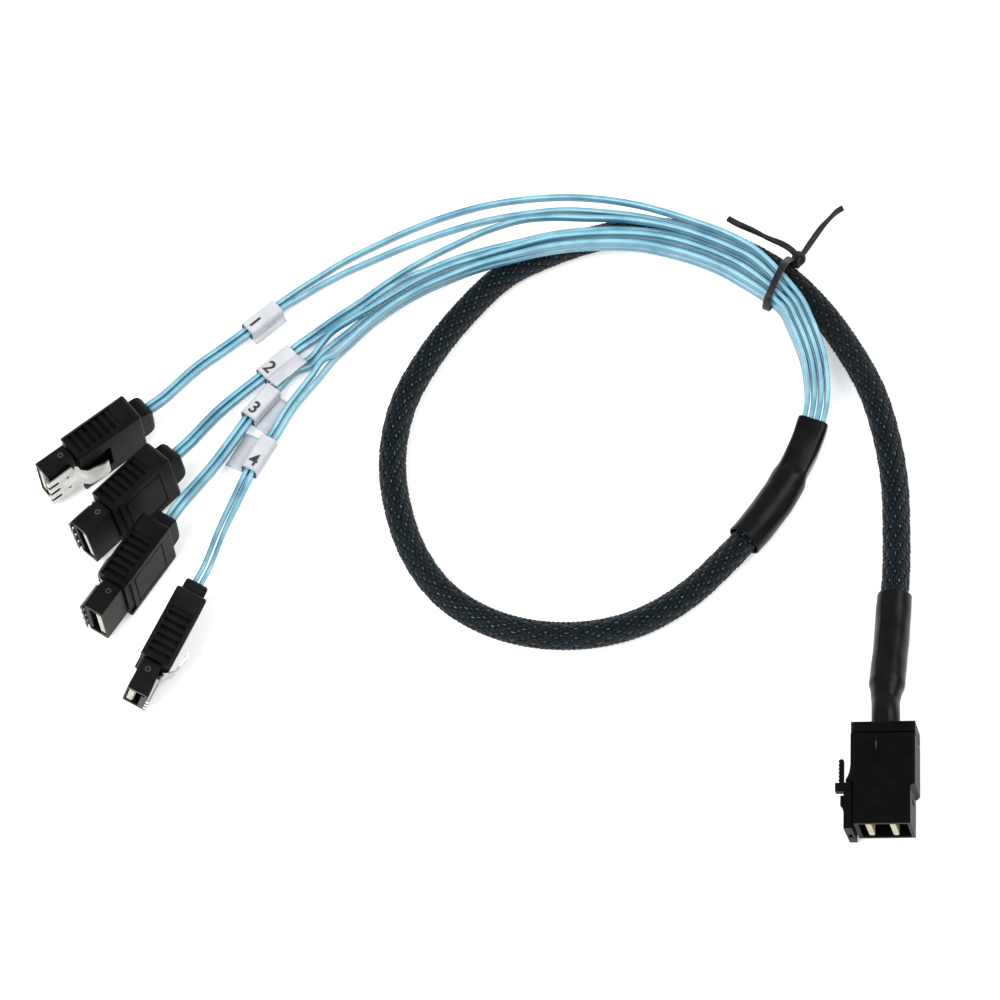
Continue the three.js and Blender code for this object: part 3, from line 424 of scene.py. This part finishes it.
def wire_route(pair, letter):
    roll, turned = DRIVE_FRAMES[pair][2], DRIVE_FRAMES[pair][4]
    hand = -1 if letter == "a" else 1
    points = bundle_points(pair - 1.5, -hand * ROW / 2)
    points += [np.array(p) for p in FAN[f"{pair + 1}{letter}"]]
    line = Route(PAIRS[pair])
    last = len(PAIRS[pair]) - 1
    for i, p in enumerate(PAIRS[pair]):
        u = i / last
        a, b = line.point(max(u - 1e-4, 0)), line.point(min(u + 1e-4, 1))
        tan = b - a
        side = np.cross([0, 0, 1], tan)
        points.append(np.array(p) + side / np.linalg.norm(side) * hand * PITCH / 2)
    flip = -1 if turned else 1
    for x in (-3.4, -1.0, 1.4):
        points.append(np.array(DRIVES[pair] @ Vector((x, flip * hand * PITCH / 2, flip * RISE))))
    return Route(points, roll)


wire_section = rounded(WIRE_THICK / 2, WIRE_HIGH / 2, 0.3, 4)
for pair in range(4):
    for letter in "ab":
        name = f"wire_{pair + 1}{letter}"
        path = wire_route(pair, letter)
        obj = tube(f"{name}_jacket", path, 260, wire_section)
        paint(obj, WIRE)
        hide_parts(name)
        line = path.frames(120)[0] * MM

# Cords: the braided sleeve

sleeve = Route(SLEEVE)
CARRIERS = 16
HELIX = 30.4
CROSSING = HELIX / CARRIERS
BRAID_STEP = 0.5
STRAND_HALF = 0.37
BRAID_LOW, BRAID_LIFT, BRAID_MEAN = 2.42, 0.24, 2.55
STRAND_PROFILE = [(-1, 0.1), (-0.5, 0.02), (0, 0.0), (0.5, 0.02), (1, 0.1)]
for direction in (1, -1):
    count = int(sleeve.length / BRAID_STEP) + 1
    pts, tan, side, up = sleeve.frames(count)
    s = np.linspace(0, sleeve.length, count)
    verts, faces, uvs = [], [], []
    axial = np.cos(math.atan2(2 * math.pi * BRAID_MEAN, HELIX))
    for c in range(CARRIERS):
        theta = direction * 2 * math.pi * s / HELIX + 2 * math.pi * c / CARRIERS
        phase = (0 if direction > 0 else math.pi) + math.pi * c
        lift = 0.5 + 0.5 * np.sin(2 * math.pi * s / CROSSING + phase)
        for w, drop in STRAND_PROFILE:
            angle = theta + direction * w * STRAND_HALF * axial / BRAID_MEAN
            shift = -w * STRAND_HALF * math.sqrt(1 - axial ** 2)
            r = BRAID_LOW + BRAID_LIFT * lift - drop
            p = pts + side * (r * np.cos(angle))[:, None] + up * (r * np.sin(angle))[:, None] + tan * shift
            verts.append(p)
    cols = len(STRAND_PROFILE)
    block = np.array(verts).reshape(CARRIERS, cols, count, 3)
    flat = block.transpose(0, 2, 1, 3).reshape(-1, 3)
    for c in range(CARRIERS):
        base = c * count * cols
        for i in range(count - 1):
            for j in range(cols - 1):
                a = base + i * cols + j
                quad = (a, a + 1, a + 1 + cols, a + cols)
                faces.append(quad if direction > 0 else quad[::-1])
    uvs = np.empty((CARRIERS, count, cols, 2))
    uvs[..., 0] = (s / UV_UNIT)[None, :, None]
    uvs[..., 1] = (np.arange(cols) / (cols - 1))[None, None, :]
    obj = new_object(f"sleeve_braid_{'s' if direction > 0 else 'z'}", flat, faces, uvs.reshape(-1, 2))
    paint(obj, BRAID)

core_section = rounded(2.4, 2.4, 2.4, 6)
core = tube("sleeve_core", sleeve, 240, core_section)
paint(core, CORE_SHADE_AND_GLINTS)
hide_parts("braided_sleeve")
line = sleeve.frames(160)[0] * MM

# Heat-shrinks


def shrink_skin(name, path, stations, count, ripple, seed):
    """A skin through stations (along, outside (a, b, r), inside (a, b, r)), with small ripples."""
    rng = np.random.default_rng(seed)
    along = [st[0] for st in stations]
    out_sizes = np.array([st[1] for st in stations])
    in_sizes = np.array([st[2] for st in stations])
    u = np.linspace(0, 1, count)
    pts, tan, side, up = path.frames(count)
    ease = np.stack([np.interp(u, along, out_sizes[:, k]) for k in range(3)], axis=1)
    inner = np.stack([np.interp(u, along, in_sizes[:, k]) for k in range(3)], axis=1)
    kernel = np.array([1, 2, 3, 2, 1]) / 9
    for k in range(3):
        pad = np.pad(ease[:, k], 2, mode="edge")
        ease[:, k] = np.convolve(pad, kernel, mode="valid")
    per = 8
    waves = rng.uniform(0, 2 * math.pi, 6)
    rings = []
    for i in range(count):
        ring = rounded(*ease[i], per)
        row = []
        for j, (a, b) in enumerate(ring):
            t = 2 * math.pi * j / len(ring)
            bulge = ripple * (math.sin(2 * t + 9 * u[i] + waves[0])
                              + 0.6 * math.sin(5 * t - 14 * u[i] + waves[1])
                              + 0.5 * math.sin(31 * u[i] + waves[2]))
            scale = 1 + bulge / max(ease[i][0], 0.1)
            row.append(pts[i] + side[i] * a * scale + up[i] * b * scale)
        rings.append(row)
    for i in range(count - 1, -1, -1):
        rings.append([pts[i] + side[i] * a + up[i] * b for a, b in rounded(*inner[i], per)])
    cols = per * 4
    verts = [p for ring in rings for p in ring]
    faces = grid_faces(len(rings), cols)
    top = (len(rings) - 1) * cols
    faces += [(top + j, top + (j + 1) % cols, (j + 1) % cols, j) for j in range(cols)]
    obj = new_object(name, verts, faces)
    return paint(obj, SHRINK_MAT)


def circle3(r):
    return (r, r, r)


boot_path = Route([tuple(HOST @ Vector((1.0, 0, 0))), tuple(HOST @ Vector((-2.5, 0, 0)))] + BOOT)
boot = shrink_skin("plug_boot_skin", boot_path, [
    (0, circle3(2.5), circle3(2.15)), (0.22, circle3(2.55), circle3(2.2)), (0.31, circle3(2.9), circle3(2.5)),
    (0.34, circle3(3.32), circle3(3.0)), (0.42, circle3(3.3), circle3(3.0)), (0.55, circle3(3.26), circle3(3.0)),
    (1, circle3(3.2), circle3(3.0))], 90, 0.035, 3)
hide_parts("plug_boot")

mouth_side = 1.5 * PITCH + WIRE_THICK / 2 + 0.3
mouth_up = ROW / 2 + WIRE_HIGH / 2 + 0.3
shrink_path = Route(SHRINK)
over = (circle3(3.45), circle3(3.12))
wires_in = ((mouth_side + 0.35, mouth_up + 0.35, 1.2), (mouth_side, mouth_up, 0.5))
breakout = shrink_skin("breakout_shrink_skin", shrink_path, [
    (0, *over), (0.55, *over), (0.61, *wires_in), (1, *wires_in)], 90, 0.04, 5)
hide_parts("breakout_shrink")

# Carried-over plug nodes: rounded edges and materials

ON_NODE = {name: HOUSING for name in ("plug_housing", "plug_rear_cap", "plug_latch")}
ON_NODE.update({name: CARD for name in ("plug_card_1", "plug_card_2")})
for n in range(1, 5):
    ON_NODE[f"drive_{n}_overmould"] = OVERMOULD
    ON_NODE[f"drive_{n}_nose"] = NOSE
    ON_NODE[f"drive_{n}_contacts"] = WAFER
    ON_NODE[f"drive_{n}_clip"] = CLIP
for name, mat in ON_NODE.items():
    node = NODES[name]
    node.data.materials.clear()
    node.data.materials.append(mat)
    if not name.endswith("contacts"):
        bevel = node.modifiers.new("edge", "BEVEL")
        bevel.width = (0.05 if name.endswith("_clip") else 0.12) * MM
        bevel.segments = 2
        bevel.limit_method = "ANGLE"
        bevel.angle_limit = math.radians(35)

# Labels: a wrap round each pair, a flag of two layers, and a plain number

LABELS = [
    (0.22, 1, [(1.6, -1.3), (2.4, -2.0)]),
    (0.28, 1, [(1.4, 1.35), (4.5, 2.4)]),
    (0.36, 1, [(1.5, -1.45), (4.4, -1.85)]),
    (0.41, -1, [(1.5, -1.45), (5.2, -1.85)]),
]
LABEL_LENGTH = 7.8
for n, (along, hand, flag) in enumerate(LABELS, 1):
    path = Route(PAIRS[n - 1])
    frames = path.frames(201)
    k = round(along * 200)
    centre, tan, side, up = (f[k] for f in frames)
    outer = rounded(1.67, 1.49, 0.75, 5)
    inner = rounded(1.55, 1.37, 0.65, 5)
    (y0, z0), (y1, z1) = flag
    verts, faces = [], []
    rows = 13
    for layer in (outer, inner[::-1]):
        for i in range(rows):
            t = (i / (rows - 1) - 0.5) * LABEL_LENGTH
            sag = 0.05 * math.sin(2.1 * t + n)
            verts += [centre + tan * t + side * (a + 0.3 * sag) + up * (b + sag) for a, b in layer]
        first = len(verts) - rows * len(outer)
        faces += grid_faces(rows, len(outer), True, first)
    cols = len(outer)
    for i in (0, rows - 1):
        for j in range(cols):
            nxt = (j + 1) % cols
            a, b = i * cols + j, i * cols + nxt
            c, d = rows * cols + i * cols + cols - 1 - nxt, rows * cols + i * cols + cols - 1 - j
            faces.append((a, d, c, b) if i else (a, b, c, d))
    for lift in (0.0, 0.14):
        steps = 8
        first = len(verts)
        for face in (0.05, -0.05):
            for i in range(rows):
                t = (i / (rows - 1) - 0.5) * (LABEL_LENGTH - 0.2 * lift)
                for j in range(steps + 1):
                    q = j / steps
                    bow = 0.22 * math.sin(math.pi * q) + lift * q + face + 0.06 * math.sin(1.7 * t + 2 * n) * q
                    out = side * hand * (y0 + (y1 - y0) * q)
                    verts.append(centre + tan * t + out + up * (z0 + (z1 - z0) * q + bow))
        wide = steps + 1
        top = grid_faces(rows, wide, False, first)
        low = grid_faces(rows, wide, False, first + rows * wide)
        faces += top + [f[::-1] for f in low]
        rim = [i * wide for i in range(rows)] + [(rows - 1) * wide + j for j in range(1, wide)]
        rim += [i * wide + steps for i in range(rows - 2, -1, -1)] + list(range(steps - 1, 0, -1))
        for q, a in enumerate(rim):
            b = rim[(q + 1) % len(rim)]
            faces.append((first + a, first + b, first + rows * wide + b, first + rows * wide + a))
    obj = new_object(f"label_{n}_film", verts, faces)
    paint(obj, LABEL)
    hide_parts(f"label_{n}")
    text = bpy.data.curves.new(f"number_{n}", "FONT")
    text.body = str(n)
    text.size = 3.6 * MM
    text.offset = 0.06 * MM
    text.align_x = "CENTER"
    text.align_y = "CENTER"
    text.extrude = 0.01 * MM
    writing = bpy.data.objects.new(f"number_{n}_text", text)
    bpy.context.scene.collection.objects.link(writing)
    flat = bpy.data.meshes.new_from_object(writing)
    bpy.data.objects.remove(writing)
    number = bpy.data.objects.new(f"label_{n}_number", flat)
    bpy.context.scene.collection.objects.link(number)
    number.matrix_world = Matrix([(side[k], -tan[k], up[k], 0) for k in range(3)] + [(0, 0, 0, 1)])
    number.location = Vector(centre + up * 1.58 + tan * 1.9) * MM
    paint(number, INK)

# Tie: a band round sleeve and wires, a knot and two twisted tails

TIE_AT, TIE_TOWARD = np.array([63.8, 79.7]), np.array([-0.418, -0.908])
TIE_LOOP = [(7.6, 0.45), (5.3, 1.3), (4.3, 3.7), (5.0, 6.0), (7.1, 8.7), (9.4, 10.9), (11.6, 11.7), (15.6, 11.5),
            (17.6, 10.7), (18.0, 8.5), (17.5, 6.2), (15.8, 4.4), (13.0, 2.2), (10.7, 0.8)]
loop = [(*(TIE_AT + a * TIE_TOWARD), z) for a, z in TIE_LOOP]
LAP = 3
closed = Route(loop[-LAP:] + loop + loop[:LAP])
spans = len(loop) + 2 * LAP - 1
turn = np.linspace(LAP / spans, (LAP + len(loop)) / spans, 141)
loop_line = np.array([closed.point(t) for t in turn])[:-1]
TIE_NORMAL = np.array([-TIE_TOWARD[1], TIE_TOWARD[0], 0.0])


def tie_rings(line, normals, section, twist):
    rings = []
    for i, p in enumerate(line):
        a, b = line[max(i - 1, 0)], line[min(i + 1, len(line) - 1)]
        tangent = (b - a) / np.linalg.norm(b - a)
        wide = normals[i] - tangent * (normals[i] @ tangent)
        wide /= np.linalg.norm(wide)
        thin = np.cross(tangent, wide)
        angle = twist * i / len(line)
        u = wide * math.cos(angle) + thin * math.sin(angle)
        v = thin * math.cos(angle) - wide * math.sin(angle)
        rings.append([p + u * x + v * y for x, y in section(i / len(line))])
    return rings


def band_section(q):
    wide = 0.78 + 0.07 * math.sin(13 * q) - 0.18 * math.exp(-((q - 0.55) / 0.12) ** 2)
    return rounded(wide, 0.25, 0.24, 4)


verts, faces = [], []
rings = tie_rings(loop_line, [TIE_NORMAL] * len(loop_line), band_section, 0)
verts += [p for ring in rings for p in ring]
faces += grid_faces(len(rings) + 1, 16)
faces = [tuple(v % len(verts) for v in f) for f in faces]
TAILS = [
    ([(62.9, 74.0, 4.6), (63.2, 74.9, 4.7), (63.4, 75.8, 4.7)], 5.0, 20),
    ([(63.4, 75.8, 4.6), (62.2, 77.6, 4.8), (60.5, 79.0, 4.8), (57.6, 80.6, 4.6), (54.5, 82.6, 4.3),
      (51.8, 84.2, 4.0), (50.0, 85.5, 3.8)], 4.5, 70),
    ([(63.4, 75.8, 4.6), (64.6, 77.5, 4.8), (66.0, 79.8, 4.6), (68.2, 83.2, 4.4), (70.0, 85.5, 4.1),
      (71.4, 87.1, 3.8), (72.5, 88.0, 3.6)], -4.0, 70),
    ([(62.9, 74.9, 4.7), (63.1, 75.3, 4.8), (63.4, 75.8, 4.8), (63.6, 76.3, 4.8)], 0.5, 20),
    ([(62.7, 75.3, 4.2), (63.6, 75.1, 4.1), (64.1, 75.7, 4.5), (63.9, 76.3, 5.2), (63.1, 76.5, 5.4),
      (62.6, 75.9, 5.1), (62.8, 75.4, 4.4), (63.5, 75.3, 4.3)], 2.0, 60),
]
for points, twist, count in TAILS:
    line = Route(points).frames(count)[0]
    rings = tie_rings(line, [np.array([0.3, 0.2, 0.93])] * count, lambda q: rounded(0.62, 0.46, 0.42, 4), twist)
    first = len(verts)
    verts += [p for ring in rings for p in ring]
    faces += grid_faces(count, 16, True, first)
    faces.append(tuple(first + j for j in range(16))[::-1])
    faces.append(tuple(first + (count - 1) * 16 + j for j in range(16)))
tie = new_object("twist_tie_band", verts, faces)
paint(tie, TIE)
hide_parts("twist_tie")

# Small moulded marks, drawn lighter grey than the plastic: painted sheen where light catches the moulding

MARKS = []
for i in range(4):
    up_face = (-1 if DRIVE_FRAMES[i][4] else 1) * 5.36
    MARKS.append((DRIVES[i], (19.5, -0.5, up_face), 0.55, 0.3, 1.0, f"drive_{i + 1}_nose_mark"))
MARKS.append((HOST, (4.4, -1.15, 5.41), 0.12, 0.0, 6.5, "plug_top_mark"))
for matrix, at, radius, hole, stretch, name in MARKS:
    verts, faces = [], []
    for r, z in ((radius, 0.0), (radius, 0.03), (hole, 0.03), (hole, 0.0)):
        sign = -1 if at[2] < 0 else 1
        for j in range(24):
            t = 2 * math.pi * j / 24
            p = Vector((at[0] + stretch * r * math.cos(t), at[1] + r * math.sin(t), at[2] + sign * z))
            verts.append(np.array(matrix @ p))
    faces = grid_faces(4, 24)
    faces += [(72 + j, 72 + (j + 1) % 24, (j + 1) % 24, j) for j in range(24)]
    obj = new_object(name, verts, faces)
    paint(obj, MARK_SHEEN)

# Floor, world and lamps

floor_mesh = bpy.data.meshes.new("floor")
floor_mesh.from_pydata([(-3, -3, 0), (3, -3, 0), (3, 3, 0), (-3, 3, 0)], [], [(0, 1, 2, 3)])
floor = bpy.data.objects.new("floor", floor_mesh)
floor.location.z = -0.00005
bpy.context.scene.collection.objects.link(floor)
floor_mat = bpy.data.materials.new("floor_white")
floor_mat.use_nodes = True
tree = floor_mat.node_tree
tree.nodes.clear()
out = tree.nodes.new("ShaderNodeOutputMaterial")
diffuse = tree.nodes.new("ShaderNodeBsdfDiffuse")
diffuse.inputs["Color"].default_value = (0.86, 0.86, 0.86, 1)
glow = tree.nodes.new("ShaderNodeEmission")
glow.inputs["Color"].default_value = (1, 1, 1, 1)
glow.inputs["Strength"].default_value = 0.42
add = tree.nodes.new("ShaderNodeAddShader")
light_path = tree.nodes.new("ShaderNodeLightPath")
gloss = tree.nodes.new("ShaderNodeMath")
gloss.operation = "MAXIMUM"
tree.links.new(light_path.outputs["Is Camera Ray"], gloss.inputs[0])
tree.links.new(light_path.outputs["Is Glossy Ray"], gloss.inputs[1])
seen = tree.nodes.new("ShaderNodeMath")
seen.operation = "MAXIMUM"
tree.links.new(gloss.outputs[0], seen.inputs[0])
tree.links.new(light_path.outputs["Is Transmission Ray"], seen.inputs[1])
choose = tree.nodes.new("ShaderNodeMixShader")
tree.links.new(seen.outputs[0], choose.inputs[0])
tree.links.new(diffuse.outputs[0], choose.inputs[1])
tree.links.new(diffuse.outputs[0], add.inputs[0])
tree.links.new(glow.outputs[0], add.inputs[1])
tree.links.new(add.outputs[0], choose.inputs[2])
tree.links.new(choose.outputs[0], out.inputs[0])
floor_mesh.materials.append(floor_mat)

world = bpy.data.worlds.new("world")
bpy.context.scene.world = world
world.use_nodes = True
tree = world.node_tree
tree.nodes.clear()
out = tree.nodes.new("ShaderNodeOutputWorld")
soft = tree.nodes.new("ShaderNodeBackground")
soft.inputs["Color"].default_value = (1, 1, 1, 1)
soft.inputs["Strength"].default_value = 0.62
white = tree.nodes.new("ShaderNodeBackground")
white.inputs["Color"].default_value = (1, 1, 1, 1)
white.inputs["Strength"].default_value = 1.0
path_node = tree.nodes.new("ShaderNodeLightPath")
choose = tree.nodes.new("ShaderNodeMixShader")
tree.links.new(path_node.outputs["Is Camera Ray"], choose.inputs[0])
tree.links.new(soft.outputs[0], choose.inputs[1])
tree.links.new(white.outputs[0], choose.inputs[2])
tree.links.new(choose.outputs[0], out.inputs[0])


def area(name, location, size, power):
    data = bpy.data.lights.new(name, "AREA")
    data.size = size
    data.energy = power
    lamp = bpy.data.objects.new(name, data)
    bpy.context.scene.collection.objects.link(lamp)
    lamp.location = location
    lamp.rotation_euler = (Vector((0, 0.02, 0)) - Vector(location)).to_track_quat("-Z", "Y").to_euler()


area("key", (-0.45, -0.35, 0.75), 0.5, 7.0)
area("fill", (0.6, 0.3, 0.7), 0.6, 4.0)

bpy.context.scene.view_settings.view_transform = "Standard"
